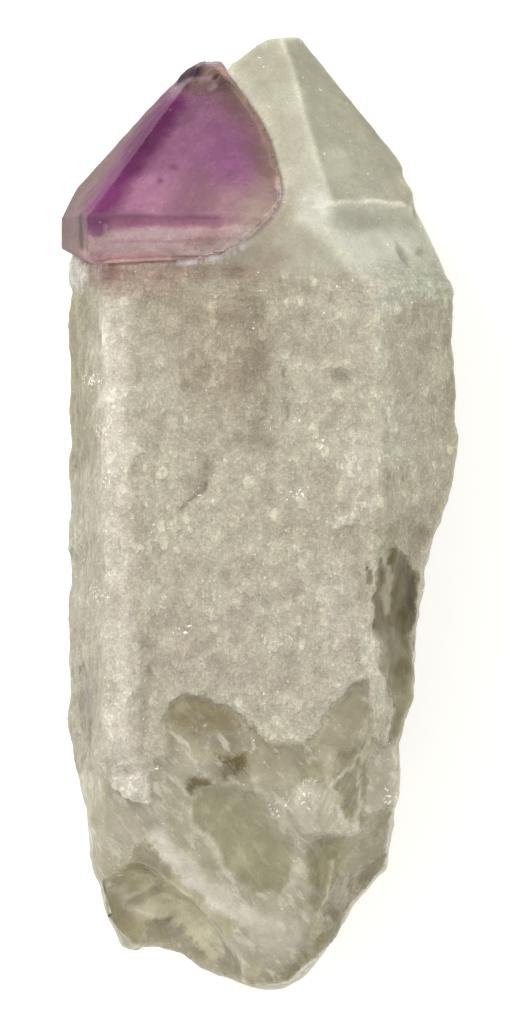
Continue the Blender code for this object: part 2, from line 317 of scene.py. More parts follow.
# Each mark: its shape as the viewer sees it, its colour, how strongly it colours, how soft its edge is, and
# how far it stands out (above 0) or lies back (below 0)
stemMarks = {
    "brown top of the front": (("oval", -5.0, 22.6, 9.0, 3.0), (156, 142, 118), 0.8, 2.0, 0),
    "brown upper front": (("oval", -3.8, 15.8, 5.0, 5.4), (154, 140, 118), 0.8, 2.2, 0),
    "rough left face": (("line", [(-19.5, 22.0), (-19.3, 5.0)], 0.8), (152, 145, 114), 0.7, 0.8, 0),
    "shade below the cap": (("line", [(-15.0, 25.2), (-10.0, 25.6), (-4.0, 25.3), (1.6, 26.4)], 1.1),
        (140, 118, 101), 0.85, 1.0, 0),
    "shade beside the cap": (("line", [(-4.0, 26.0), (0.4, 28.2), (2.4, 30.6), (2.9, 33.0)], 0.9),
        (148, 136, 119), 0.8, 0.8, 0),
    "pink under the cap": (("oval", -12.6, 24.2, 4.0, 1.8), (164, 138, 126), 0.7, 1.2, 0),
    "dark streak": (("line", [(-1.0, 22.0), (0.0, 15.0), (0.2, 8.0)], 1.2),
        (140, 130, 108), 0.75, 1.0, 0),
    "dull by the notch": (("oval", 10.4, 11.3, 1.0, 1.2), (166, 159, 139), 0.7, 0.8, 0),
    "pale right face": (("oval", 14.4, 8.8, 2.6, 3.4), (192, 189, 170), 0.65, 1.5, 0),
    "pale by the edge": (("oval", 10.2, 5.2, 1.8, 3.0), (208, 203, 187), 0.6, 1.3, 0),
    "brown spot": (("oval", 4.2, -1.4, 2.4, 1.2), (166, 154, 134), 0.7, 0.9, 0),
    "dull left middle": (("oval", -9.5, -4.2, 2.6, 1.6), (172, 162, 144), 0.6, 1.3, 0),
    "dull right middle": (("oval", 9.8, -5.6, 1.4, 1.4), (164, 159, 138), 0.6, 0.9, 0),
    "pale lower right": (("oval", 8.2, -10.2, 1.8, 3.6), (208, 203, 188), 0.65, 1.2, 0),
    "pinkish low left": (("oval", -8.5, -16.4, 4.4, 2.0), (166, 154, 138), 0.6, 1.6, 0),
    "milky lower front": (("oval", 3.5, -14.0, 9.5, 7.5), (186, 179, 160), 0.6, 3.0, 0),
    "pink middle": (("oval", -6.0, -13.0, 6.0, 5.0), (180, 168, 152), 0.5, 2.5, 0),
    # a pale milky edge, and a painted highlight where the rounded edge catches the light
    "left ridge": (("line", [(-15.2, 20.6), (-15.0, 0.0), (-14.6, -20.0), (-13.6, -28.0)], 1.5),
        (222, 215, 200), 0.9, 1.3, 0),
    "left face low": (("patch", [(-21.0, 4.0), (-15.6, 4.0), (-15.4, -28.0), (-21.0, -28.0)]),
        (184, 178, 159), 0.8, 2.5, 0),
    "pink corner": (("oval", -16.6, 25.2, 1.9, 1.7, 0), (136, 100, 96), 0.85, 0.8, 0),
    "white rim under the cap": (("patch", [(-20.2, 27.8), (-18.9, 27.0), (-18.2, 26.0), (-18.0, 24.6),
        (-18.7, 23.2), (-20.4, 24.0)]), (206, 202, 194), 0.9, 0.35, 0.15),
    "dark right outline": (("line", [(19.6, 24.0), (20.2, 20.5), (20.3, 16.5), (20.0, 12.0)], 1.0),
        (142, 138, 112), 0.8, 0.6, 0),
    "dark edge of the point": (("line", [(8.2, 44.8), (10.0, 42.8), (12.4, 39.8)], 0.5),
        (130, 126, 100), 0.7, 0.5, 0),
    "pyramid ridge": (("line", [(2.3, 49.8), (3.5, 46.5), (4.5, 42.1), (5.7, 37.7), (6.9, 34.1),
        (7.4, 32.5)], 0.2), (208, 204, 186), 0.8, 0.35, 0),
    "pale side of the ridge": (("line", [(3.6, 42.5), (5.0, 36.0), (6.2, 33.0)], 0.9),
        (190, 185, 166), 0.6, 0.7, 0),
    "cloud by the cap": (("oval", 5.9, 31.6, 1.7, 2.4, 10), (218, 215, 205), 0.85, 0.9, 0),
    "pale by the ridge": (("oval", 8.1, 36.4, 1.3, 1.8, 0), (186, 182, 163), 0.7, 0.8, 0),
    "grey by the cap": (("oval", 3.6, 35.5, 0.8, 3.6, 8), (184, 178, 160), 0.6, 0.5, 0),
    "pale ridge": (("line", [(5.7, 31.7), (8.9, 28.0), (12.2, 24.1), (12.9, 21.6)], 1.1),
        (194, 191, 175), 0.85, 0.9, 0),
    # a pale milky edge, and a painted highlight where the rounded edge catches the light
    "right edge band": (("line", [(12.9, 21.6), (12.7, 10.0), (12.4, 2.5)], 0.5),
        (196, 191, 172), 0.8, 0.6, 0),
    "shoulder glow": (("oval", 12.5, 27.8, 3.6, 1.9, 0), (202, 201, 184), 0.8, 1.2, 0),
    "pale foot of the face": (("oval", 11.0, 33.8, 3.6, 1.4, 0), (166, 162, 141), 0.7, 0.7, 0),
    "lens under the step": (("oval", 11.1, 31.3, 2.7, 1.8, 0), (168, 164, 146), 0.85, 0.5, 0),
    "step line": (("line", [(5.7, 31.9), (7.7, 32.35), (12.3, 32.55), (15.1, 32.25)], 0.16),
        (214, 210, 190), 0.9, 0.25, 0.12),
    "yellow chip": (("oval", 15.4, 35.2, 0.6, 1.1, -20), (176, 168, 128), 0.8, 0.25, -0.1),
    "dark chip": (("oval", 16.6, 31.9, 0.45, 1.1, -10), (118, 114, 88), 0.85, 0.2, -0.2),
    "shoulder pit": (("oval", 15.0, 27.0, 0.4, 1.2, 30), (158, 156, 136), 0.8, 0.25, -0.25),
    "second pit": (("oval", 16.7, 27.3, 0.4, 0.4, 0), (156, 154, 134), 0.8, 0.25, -0.2),
    "shoulder line": (("line", [(16.2, 22.9), (20.4, 23.1)], 0.1), (158, 152, 130), 0.6, 0.2, -0.08),
    # painted shade: the crease's dark line is painted into its colour, over a shallow real groove
    "diagonal groove": (("line", [(-5.6, 3.6), (-7.0, 1.9), (-8.4, 0.5)], 0.2),
        (138, 126, 108), 0.7, 0.4, -0.3),
    "shade beside the groove": (("line", [(-4.4, 5.9), (-5.4, 4.2), (-6.6, 2.8)], 0.7),
        (158, 146, 126), 0.6, 0.8, -0.1),
    "vertical crack": (("line", [(2.3, 15.3), (2.5, 12.0), (2.3, 9.0)], 0.12),
        (132, 123, 103), 0.8, 0.25, -0.15),
    "right notch": (("oval", 8.4, 14.3, 0.7, 0.4, -20), (150, 141, 120), 0.6, 0.5, -0.15),
    "right scale": (("line", [(8.0, -1.5), (9.3, -0.8), (10.4, 1.2), (11.3, 3.0)], 0.25),
        (208, 203, 188), 0.7, 0.3, 0.2),
    "long groove": (("line", [(-11.7, -13.3), (-11.9, -18.0), (-11.7, -23.7)], 0.5),
        (164, 153, 135), 0.6, 0.7, -0.2),
    "left notch": (("oval", -19.6, -4.7, 0.7, 0.6, 0), (150, 141, 117), 0.7, 0.3, -0.2),
    "tan zone": (("oval", 15.4, -2.6, 2.2, 2.2), (146, 139, 113), 0.85, 0.5, 0),
    "tan rim": (("line", [(12.9, -4.9), (13.4, -2.0), (15.0, -0.4), (17.0, -0.7), (18.0, -2.8)], 0.2),
        (138, 130, 101), 0.6, 0.3, 0),
    "satellite": (("line", [(11.6, -5.5), (11.6, -7.3)], 0.28), (120, 110, 84), 0.9, 0.25, -0.2),
    "grey patch": (("oval", 11.1, -8.2, 1.2, 1.2), (160, 155, 135), 0.7, 0.5, 0),
    "white edge band": (("line", [(10.6, -12.2), (11.5, -16.0), (13.2, -18.9), (13.5, -20.8),
        (12.9, -23.5)], 0.45), (194, 191, 172), 0.9, 0.4, 0.1),
    "shade by the band": (("line", [(10.6, -14.2), (11.3, -17.4), (11.5, -19.6)], 0.45),
        (156, 152, 132), 0.5, 0.5, 0),
    "brown haze": (("oval", -3.4, -26.2, 3.2, 2.2, 0), (140, 130, 100), 0.6, 1.3, 0),
    "shade round the hollows": (("oval", -4.4, -26.6, 4.4, 2.4, -25), (156, 147, 120), 0.7, 1.4, 0),
    "left pale break": (("oval", -12.5, -33.0, 3.4, 2.6, 0), (182, 174, 155), 0.8, 1.2, 0),
    "overhanging chunk": (("patch", [(-15.2, -27.6), (-15.0, -28.8), (-14.1, -29.8), (-12.7, -30.0),
        (-11.5, -30.0), (-11.0, -29.5), (-11.5, -28.2), (-13.0, -27.4)]), (206, 200, 184), 0.8, 0.3, 0.3),
    "pale ledge": (("line", [(-8.3, -22.9), (-4.0, -23.8), (0.0, -24.6), (5.0, -25.2)], 1.1),
        (132, 123, 96), 0.85, 0.8, 0.15),
    "pale lump": (("oval", -6.6, -26.4, 1.8, 1.1, 10), (178, 171, 150), 0.8, 0.8, 0.15),
    "diagonal ledge": (("line", [(-10.6, -34.6), (-7.5, -37.2), (-4.9, -39.9), (-1.5, -42.2),
        (3.0, -44.2)], 1.3), (214, 209, 192), 0.9, 0.9, 0.2),
    "white patch": (("patch", [(3.2, -28.7), (5.6, -28.3), (7.3, -28.9), (7.4, -31.3), (5.0, -32.8),
        (3.3, -31.0)]), (178, 173, 153), 0.85, 0.8, 0.2),
    "sparkling streak": (("line", [(-0.6, -27.8), (1.8, -30.8), (3.4, -33.4)], 0.5),
        (196, 190, 168), 0.7, 0.4, 0.12),
    "right end band": (("line", [(12.9, -23.6), (13.2, -27.0), (13.0, -30.2)], 0.7),
        (162, 156, 135), 0.8, 0.6, 0.1),
    "fuller low right": (("line", [(8.0, -43.6), (6.2, -46.0)], 1.4), (150, 144, 116), 0.7, 0.8, 0.6),
    "pale end of the facet": (("oval", 2.8, -38.2, 3.0, 1.5, 0), (194, 188, 167), 0.7, 1.0, 0),
    "bottom pale": (("oval", 1.5, -43.2, 4.4, 2.2, -20), (183, 178, 155), 0.8, 1.2, 0.15),
    "low rim": (("line", [(-3.0, -47.6), (0.0, -49.0), (3.0, -48.6)], 0.8),
        (140, 133, 104), 0.8, 0.5, 0.1),
}

# The same for places where the quartz is glassy, without a strength
glassMarks = {
    "smoky window": (("patch", [(14.1, -3.6), (16.5, -5.2), (16.8, -6.8), (16.5, -11.8), (14.7, -12.8),
        (12.2, -13.2), (11.8, -11.8), (11.9, -8.7), (12.8, -5.9)]), (84, 73, 8), 0.25, -0.2),
    "streak in the window": (("line", [(13.5, -5.6), (13.4, -8.4), (13.7, -10.6)], 0.22),
        (140, 132, 101), 0.15, 0),
    "dark edge of the window": (("line", [(15.0, -4.9), (16.0, -6.4), (16.1, -10.8)], 0.4),
        (78, 70, 44), 0.3, 0),
    "satellite": (("line", [(11.6, -5.5), (11.6, -7.2)], 0.3), (122, 112, 86), 0.2, -0.15),
    "olive strip": (("patch", [(11.9, -12.2), (16.4, -12.2), (16.4, -18.0), (15.8, -23.8), (13.3, -23.9),
        (13.9, -20.8), (14.3, -18.9), (12.6, -15.6)]), (132, 125, 95), 0.4, -0.1),
    "dark top of the strip": (("patch", [(12.1, -12.0), (16.4, -12.0), (16.4, -15.8), (14.8, -17.6),
        (13.4, -15.4)]), (108, 99, 66), 0.5, -0.1),
    "spindle window": (("patch", [(-18.7, -16.3), (-17.8, -16.9), (-17.3, -20.5), (-17.6, -25.2),
        (-18.5, -22.5), (-19.1, -19.0)]), (138, 130, 106), 0.25, -0.2),
    "upper glass patch": (("patch", [(-9.5, -21.6), (-9.4, -19.9), (-8.1, -19.0), (-6.4, -19.0),
        (-4.5, -19.7), (-3.0, -20.7), (-1.6, -21.5), (-0.4, -22.9), (-4.0, -23.2), (-8.4, -22.6)]),
        (138, 127, 96), 0.5, 0.4),
    "darker in that patch": (("oval", -3.4, -21.9, 1.3, 0.6, -20), (132, 121, 93), 0.5, 0),
    "brown hollow": (("patch", [(-5.1, -24.8), (-1.5, -25.0), (-1.5, -27.2), (-4.0, -27.9)]),
        (98, 86, 46), 0.65, 0.2),
    "second hollow": (("patch", [(-7.7, -27.5), (-5.2, -27.8), (-4.6, -28.6), (-5.6, -29.4),
        (-7.4, -29.6)]), (104, 94, 60), 0.6, 0.1),
    "green facet": (("patch", [(-7.6, -30.0), (-7.4, -32.3), (-5.4, -34.5), (-4.0, -36.3), (-2.1, -38.3),
        (-0.4, -39.5), (2.2, -39.7), (3.2, -38.5), (3.5, -34.9), (1.5, -31.6), (-0.4, -28.6),
        (-4.0, -28.4), (-6.4, -29.6)]), (154, 149, 118), 0.4, -0.15),
    "small green facet": (("patch", [(3.7, -25.8), (7.0, -25.8), (7.2, -28.5), (4.2, -28.6)]),
        (156, 150, 118), 0.4, -0.15),
    "grey corner": (("patch", [(5.6, -24.0), (6.6, -21.4), (8.8, -18.6), (10.6, -17.4), (11.4, -20.0),
        (11.0, -24.6), (8.0, -25.0)]), (150, 143, 117), 0.6, 0),
    "needles": (("patch", [(7.4, -26.2), (8.6, -24.6), (10.8, -24.2), (11.6, -27.0), (10.9, -32.6),
        (8.8, -31.8), (7.8, -28.6)]), (134, 127, 96), 0.5, -0.15),
    "low green facet": (("patch", [(4.4, -35.2), (6.5, -33.2), (10.6, -33.5), (12.6, -35.0), (11.0, -39.0),
        (8.0, -42.5), (5.6, -42.0), (4.6, -38.5)]), (140, 134, 102), 0.5, -0.15),
    "right corner": (("patch", [(10.2, -31.2), (14.4, -30.0), (14.4, -36.0), (11.8, -39.8), (8.6, -42.6),
        (7.6, -40.2), (9.8, -36.0)]), (134, 128, 98), 0.6, 0),
    "dark low rim": (("line", [(9.0, -41.5), (7.4, -44.6), (4.8, -47.2), (2.2, -49.4)], 1.4),
        (126, 119, 90), 0.9, 0),
    "dark right corner": (("line", [(13.9, -30.8), (13.4, -35.5), (11.8, -38.8)], 1.0),
        (106, 97, 60), 0.7, 0),
    # a glassy khaki scoop; its colour is raised to make up for the shade in the deep hollow, so it is
    # partly painted light
    "scoop": (("patch", [(-12.9, -35.2), (-11.8, -34.6), (-10.2, -35.8), (-8.4, -37.4), (-6.9, -39.8),
        (-5.2, -41.9), (-3.0, -43.6), (-4.6, -45.4), (-9.0, -43.0), (-11.8, -43.2), (-14.0, -45.6),
        (-16.0, -41.0)]), (178, 170, 136), 0.7, 0),
    "brown triangle": (("patch", [(-12.8, -34.4), (-11.4, -34.9), (-8.8, -37.6), (-9.8, -38.9),
        (-12.4, -38.0), (-14.0, -38.4)]), (146, 137, 108), 0.5, 0),
    # painted light: the scoop's pale floor faces away from the lamps and is painted lighter to make up for
    # it
    "bright scoop floor": (("line", [(-11.8, -41.6), (-9.2, -41.9), (-7.0, -43.8), (-5.2, -45.8)], 1.1),
        (222, 215, 182), 0.7, 0),
    "scoop arc": (("line", [(-14.0, -40.2), (-12.2, -39.6), (-9.5, -40.0), (-7.4, -41.6),
        (-6.3, -43.6)], 0.35), (212, 205, 178), 0.4, 0.15),
    "upper arc": (("line", [(-12.4, -38.4), (-10.4, -38.6), (-8.6, -39.4), (-7.4, -40.6)], 0.25),
        (192, 184, 154), 0.35, 0.1),
    "scoop spot": (("oval", -10.8, -39.7, 0.7, 0.25, 0), (118, 110, 80), 0.3, -0.1),
    "scoop hollow": (("oval", -10.0, -42.8, 0.7, 0.3, 25), (122, 114, 86), 0.35, -0.1),
    "dark stripe": (("line", [(8.6, -37.6), (9.6, -38.9), (10.7, -40.3)], 0.2),
        (108, 100, 70), 0.3, -0.2),
    "dark upright line": (("line", [(5.8, -36.3), (5.75, -39.9)], 0.2), (120, 113, 84), 0.35, -0.15),
    "light upright line": (("line", [(7.6, -36.0), (7.2, -41.5)], 0.15), (190, 184, 158), 0.3, 0.1),
    "needle edge": (("line", [(7.4, -29.0), (9.4, -26.2), (11.1, -23.8)], 0.14),
        (200, 194, 168), 0.25, 0.08),
    "second needle edge": (("line", [(11.1, -24.0), (10.4, -28.0), (9.8, -33.0)], 0.14),
        (190, 184, 158), 0.25, 0.08),
    "pale edge of the facet": (("line", [(-7.4, -30.2), (-7.2, -32.4), (-5.2, -34.6),
        (-3.8, -36.5)], 0.25), (196, 191, 166), 0.35, 0.1),
}

# Places with fine straight streaks: a line, how far they reach to its sides, and how strong they are
streaks = {
    "needles": ([(7.8, -31.0), (10.6, -24.4)], 2.0, 1.0),
    "low block": ([(7.4, -38.6), (10.2, -40.2)], 1.6, 1.0),
    "green facet": ([(-5.0, -31.0), (0.5, -38.0)], 2.6, 0.3),
    "upper glass patch": ([(-7.5, -21.2), (-1.5, -22.4)], 1.4, 0.3),
    "low right": ([(6.0, -36.0), (7.0, -43.0)], 2.2, 0.45),
    "scoop": ([(-12.0, -38.0), (-6.0, -43.0)], 2.2, 0.35),
}

# How far the outline is moved to the right: the height, the edge's place there and the distance
outlineShifts = {
    "right": [(2.0, 19.6, 0.0), (-1.0, 19.4, -0.4), (-3.0, 19.2, -0.9), (-5.7, 18.9, -1.4),
        (-9.0, 18.3, -1.15), (-14.0, 17.3, -0.85), (-19.0, 16.4, -0.1), (-21.0, 16.0, -0.6),
        (-24.0, 15.6, -0.9), (-27.5, 14.9, -0.3), (-33.0, 13.8, 0.45), (-36.5, 13.1, 0.4),
        (-41.0, 10.2, -0.4), (-44.3, 7.4, 0.7), (-47.5, 4.8, 0.7), (-50.0, 2.0, 0.0)],
    "left": [(-31.0, -17.8, 0.0), (-34.0, -17.3, -0.6), (-36.0, -16.8, -1.0), (-38.5, -16.2, -0.8),
        (-41.0, -15.3, -1.0), (-42.8, -15.1, -0.6), (-44.5, -14.8, 0.0)],
}

# Clusters of painted glints, white specks for tiny facets that catch the light: the middle and the radius
glints = [
    (-16.5, 8.4, 1.2), (-16.4, 0.9, 0.6), (-10.8, -2.0, 0.6), (1.4, 7.4, 0.5), (3.6, 9.6, 0.6),
    (6.5, 6.9, 0.8), (3.9, 2.2, 1.2), (-6.6, 1.9, 1.0), (-9.3, -1.5, 0.6), (9.6, -32.7, 0.6),
    (-9.4, -40.8, 0.8), (1.6, -31.0, 1.4), (-15.8, -18.0, 1.0), (-15.6, 4.0, 1.2), (8.0, -22.3, 0.8),
    (13.6, -29.5, 0.8), (-17.0, -8.0, 1.4), (-8.0, -12.0, 1.0), (0.5, -19.5, 0.8), (5.2, -30.0, 1.2),
    (-10.6, -27.0, 1.0), (-17.6, 14.0, 1.6),
]


def hillocks(points, size):
    # rounded low hills on the crust, a little longer along the crystal
    stretched = points / size * [1, 0.7, 1]
    first = np.array([noise.voronoi(Vector(p))[0][0] for p in stretched])
    return 0.5 - first


def scoops(points, size, shift):
    # shell-like hollows that meet in sharp ridges, as where glass has broken
    stretched = points / size * [1, 0.8, 0.8] + shift
    first = np.array([noise.voronoi(Vector(p))[0][0] for p in stretched])
    return first ** 2


def stemRelief(points, u, v, broken, seen):
    # how far each point moves, in millimetres along the normal
    look = stemLook
    offRest = smoothStep(0.2, 2.5, points[:, 2])
    pointed = smoothStep(24.0, 26.5, v + 0.3 * np.minimum(0, u))
    crust = bumps(points, 3.2, 3, 5.0) * look["lumps"] + bumps(points, 0.9, 2, 11.0) * look["sugar"]
    crust += hillocks(points, 1.9) * look["hillocks"]
    crust = crust * (1 - 0.85 * pointed)
    large, small = scoops(points, 6.5, 2.0) - 0.35, scoops(points, 2.6, 8.0) - 0.3
    shattered = large * look["scoops"] + small * look["scoops"] * 0.3
    shattered += bumps(points, 1.1, 2, 21.0) * 0.04 - look["breakStep"] * seen
    relief = mix(crust, shattered, broken)
    for shape, _, _, edge, height in stemMarks.values():
        if height:
            relief += height * smoothStep(-edge, edge, insideShape(u, v, shape)) * seen
    for shape, _, edge, height in glassMarks.values():
        if height:
            relief += height * smoothStep(-0.3, 0.9, insideShape(u, v, shape)) * seen
    return relief * offRest


def paintStem(mesh, points, normals, u, v, broken, seen, hollow):
    look = stemLook
    across = normals[:, 0]
    right, left = smoothStep(0.42, 0.6, across), smoothStep(-0.5, -0.75, across)
    capEdge = insidePatch(*seenPlaces(points), capOutline)
    pointed = smoothStep(*look["pointFrom"], v + 0.45 * np.minimum(0, u) - 0.2 * np.maximum(0, u - 8) + 1.0)
    colours = np.tile(linear(*look["crust"]), (len(points), 1))
    colours = mix(colours, linear(*look["leftFace"]), left)
    colours = mix(colours, linear(*look["rightFace"]), right)
    colours = mix(colours, linear(*look["point"]), pointed)
    colours = mix(colours, linear(*look["shoulder"]), right * smoothStep(*look["shoulderFrom"], v))
    colours = mix(colours, linear(*look["rightOfPoint"]), right * smoothStep(*look["stepAt"], v))
    colours = mix(colours, linear(*look["back"]), smoothStep(0.0, -0.4, normals @ toViewer))
    colours = mix(colours, linear(*look["break"]), broken)
    uneven = 0.8 + 0.35 * bumps(points, 2.2, 3, 9.0)
    for shape, colour, strength, edge, _ in stemMarks.values():
        amount = smoothStep(-edge, edge, insideShape(u, v, shape)) * strength * seen
        colours = mix(colours, linear(*colour), np.clip(amount * np.maximum(uneven, 1 - edge), 0, 1))
    # painted shade in hollows and painted light on bump tops, set by how far each point lies below or above
    # its neighbours
    colours = colours * (1 + np.clip(hollow * look["paintedHollowShadeAndTopLight"], -0.28, 0.16))[:, None]
    # painted light: the stem is made lighter along the cap's edge to cancel the shade in the joint between
    # them
    paintedLightBesideCap = smoothStep(-0.9, -0.3, capEdge)
    colours = mix(colours, colours * 1.15, paintedLightBesideCap)
    colours = mix(colours, linear(*look["underCap"]), smoothStep(0.1, 0.5, capEdge))
    storeColour(mesh, "tint", colours)

    glassTint = np.tile(linear(*look["break"]), (len(points), 1))
    field = np.full(len(points), -3.0)
    for shape, colour, edge, _ in glassMarks.values():
        inside = insideShape(u, v, shape)
        glassTint = mix(glassTint, linear(*colour), smoothStep(-edge, edge, inside))
        field = np.maximum(field, np.clip(inside / edge, -3, 3))
    # the same painted shade in hollows and painted light on tops, for the glassy colour
    glassTint = glassTint * (1 + np.clip(hollow * look["paintedHollowShadeAndTopLight"], -0.3, 0.2))[:, None]
    storeColour(mesh, "glassTint", glassTint)
    storeNumber(mesh, "glass", np.where(seen > 0.5, field, -3.0))
    storeNumber(mesh, "sugary", (1 - broken * 0.75) * (1 - pointed * 0.7))
    storeNumber(mesh, "broken", broken)
    nearGlint, streaky = np.zeros(len(points)), np.zeros(len(points))
    for middleU, middleV, radius in glints:
        away = np.hypot(u - middleU, v - middleV)
        nearGlint = np.maximum(nearGlint, smoothStep(radius * 1.3, radius * 0.3, away))
    storeNumber(mesh, "glint", nearGlint * seen)
    for line, reach, strength in streaks.values():
        streaky = np.maximum(streaky, smoothStep(-1.0, 0.8, besideLine(u, v, line, reach)) * strength)
    storeNumber(mesh, "streaky", streaky * seen)
    storeNumber(mesh, "ledged", smoothStep(19.0, 24.0, v) * (1 - pointed))


def mottled(tree, parts):
    # light and dark from several kinds of noise, each with its share
    shade = 1.0
    for noiseKind, share in parts:
        shade = sums(tree, "MULTIPLY", shade, ramped(tree, noiseKind, 0.3, 0.7, 1 - share, 1 + share))
    return shade


def quartzMaterial():
    look = stemLook
    material, tree, shader = newMaterial("milky quartz")
    place = addNode(tree, "TexCoord").outputs["Object"]
    broken, sugary = attribute(tree, "broken"), attribute(tree, "sugary")
    streaky, ledged = attribute(tree, "streaky"), attribute(tree, "ledged")
    grain = noiseAt(tree, place, look["grain"], 2, 0.7)
    fine = noiseAt(tree, place, look["fineGrain"], 4, 0.65)
    middle = noiseAt(tree, place, look["patches"], 3, 0.6)
    wide = noiseAt(tree, place, look["widePatches"], 2, 0.6)
    upright = addNode(tree, "Mapping", Vector=place, Scale=(1, 0.2, 1)).outputs["Vector"]
    scales = noiseAt(tree, upright, 0.24, 2, 0.6)
    sideways = addNode(tree, "Mapping", Vector=place, Scale=(0.12, 1, 0.12)).outputs["Vector"]
    ledges = noiseAt(tree, sideways, 0.35, 2, 0.6)
    slant, lie = math.radians(-24), math.radians(38)
    slanting = addNode(tree, "Mapping", vector_type="TEXTURE", Vector=place, Rotation=(0, 0, slant),
                       Scale=(0.06, 1, 0.2)).outputs["Vector"]
    needles = noiseAt(tree, slanting, 6.0, 2, 0.6)
    drawn = addNode(tree, "Mapping", vector_type="TEXTURE", Vector=place, Rotation=(0, 0, lie),
                    Scale=(0.35, 1, 0.5)).outputs["Vector"]
    wisps = noiseAt(tree, drawn, 3.2, 4, 0.65)

    # the edges of the glassy places wander
    wobble = ramped(tree, middle, 0.3, 0.7, -0.7, 0.7)
    wobble = sums(tree, "ADD", wobble, ramped(tree, fine, 0.3, 0.7, -0.6, 0.6))
    glass = ramped(tree, sums(tree, "ADD", attribute(tree, "glass"), wobble), -0.9, 0.9)
    base = mixed(tree, glass, attribute(tree, "tint", "Color"), attribute(tree, "glassTint", "Color"))
    lively = sums(tree, "MULTIPLY", sugary, ramped(tree, glass, 0, 1, 1, 0.1))

    # pale rounded lumps of about a millimetre on the crust
    warp = addNode(tree, "TexNoise", Vector=place, Scale=1 / 1.4 / mm, Detail=3).outputs["Color"]
    bent = mixed(tree, 0.0016, place, warp, "ADD")
    tall = addNode(tree, "Mapping", Vector=bent, Scale=(1, 0.7, 1)).outputs["Vector"]
    cells = addNode(tree, "TexVoronoi", Vector=tall, Scale=1 / look["paleLumps"] / mm)
    cellPick = addNode(tree, "SeparateColor", Color=cells.outputs["Color"])
    lumps = sums(tree, "MULTIPLY", ramped(tree, cells.outputs["Distance"], 0.5, 0.3),
                 ramped(tree, cellPick.outputs[0], 0.35, 0.9, 0, 0.7))
    small = addNode(tree, "TexVoronoi", Vector=tall, Scale=1 / look["smallPaleLumps"] / mm)
    smallPick = addNode(tree, "SeparateColor", Color=small.outputs["Color"]).outputs[0]
    smallLumps = sums(tree, "MULTIPLY", ramped(tree, small.outputs["Distance"], 0.5, 0.32),
                      ramped(tree, smallPick, 0.4, 0.9, 0, 0.6))
    lumps = sums(tree, "MAXIMUM", lumps, smallLumps)
    lumps = sums(tree, "MULTIPLY", lumps, ramped(tree, wide, 0.35, 0.6, 0.35, 1.0))

    # milky wisps in the broken end
    milk = sums(tree, "MULTIPLY", broken, ramped(tree, glass, 0, 1, 1, 0.25))
    milk = sums(tree, "MULTIPLY", ramped(tree, wisps, 0.5, 0.62, 0, 0.7), milk)
    base = mixed(tree, milk, base, linear(*look["wisp"]))

    # some places are pinker and some greener
    patches = sums(tree, "ADD", wide, sums(tree, "MULTIPLY", middle, 0.3))
    hue = mixed(tree, ramped(tree, patches, 0.55, 0.75), look["pinker"], look["greener"])
    base = mixed(tree, sugary, base, mixed(tree, 1.0, base, hue, "MULTIPLY"))

    # light and dark mottling
    shade = mottled(tree, ((grain, 0.15), (fine, 0.14), (wide, 0.08), (middle, 0.07), (scales, 0.05)))
    shade = sums(tree, "MULTIPLY", shade, ramped(tree, lumps, 0.0, 0.8, 0.95, 1.24))
    veins = sums(tree, "ABSOLUTE", sums(tree, "SUBTRACT", fine, 0.5), 0.0)
    shade = sums(tree, "MULTIPLY", shade, ramped(tree, veins, 0.0, 0.025, 0.83, 1.0))
    calm = mottled(tree, ((wide, 0.08), (middle, 0.06), (grain, 0.06)))
    shade = between(tree, lively, calm, shade)
    needleShade = between(tree, streaky, 1.0, ramped(tree, needles, 0.35, 0.65, 0.9, 1.1))
    ledgeShade = between(tree, ledged, 1.0, ramped(tree, ledges, 0.35, 0.65, 0.93, 1.07))
    for factor in (needleShade, ledgeShade):
        shade = sums(tree, "MULTIPLY", shade, factor)
    base = mixed(tree, 1.0, base, shade, "MULTIPLY")

    # painted glints: white specks with low roughness, for tiny facets that catch the light
    nearGlint = sums(tree, "MULTIPLY", attribute(tree, "glint"), 0.16)
    spots = sums(tree, "ADD", noiseAt(tree, place, 0.34, 1, 0.5), nearGlint)
    spots = sums(tree, "ADD", spots, ramped(tree, middle, 0.35, 0.7, -0.03, 0.03))
    sparkle = sums(tree, "MULTIPLY", ramped(tree, spots, 0.755, 0.79), ramped(tree, glass, 0, 1, 1, 0.2))
    base = mixed(tree, sparkle, base, look["glintColour"])
    tree.links.new(base, shader.inputs["Base Color"])

    rough = ramped(tree, glass, 0, 1, 0.6, 0.28)
    rough = sums(tree, "SUBTRACT", rough, sums(tree, "MULTIPLY", broken, 0.15))
    rough = sums(tree, "SUBTRACT", rough, sums(tree, "MULTIPLY", sparkle, 0.3))
    tree.links.new(rough, shader.inputs["Roughness"])

    height = sums(tree, "ADD", fine, sums(tree, "MULTIPLY", middle, 1.5))
    height = sums(tree, "ADD", height, sums(tree, "MULTIPLY", scales, 0.6))
    height = sums(tree, "ADD", height, lumps)
    height = sums(tree, "MULTIPLY", height, ramped(tree, lively, 0, 1, 0.25, 1.0))
    for pattern, zone, share in ((needles, streaky, 1.5), (ledges, ledged, 0.6)):
        pattern = sums(tree, "MULTIPLY", pattern, zone)
        height = sums(tree, "ADD", height, sums(tree, "MULTIPLY", pattern, share))
    bump = addNode(tree, "Bump", Height=height, Strength=0.9, Distance=look["bumpDepth"] * mm)
    tree.links.new(bump.outputs["Normal"], shader.inputs["Normal"])
    shader.inputs["Subsurface Weight"].default_value = look["milkiness"]
    shader.inputs["Subsurface Radius"].default_value = (1.0, 0.9, 0.7)
    shader.inputs["Subsurface Scale"].default_value = 0.5 * mm
    shader.inputs["IOR"].default_value = look["ior"]
    return material


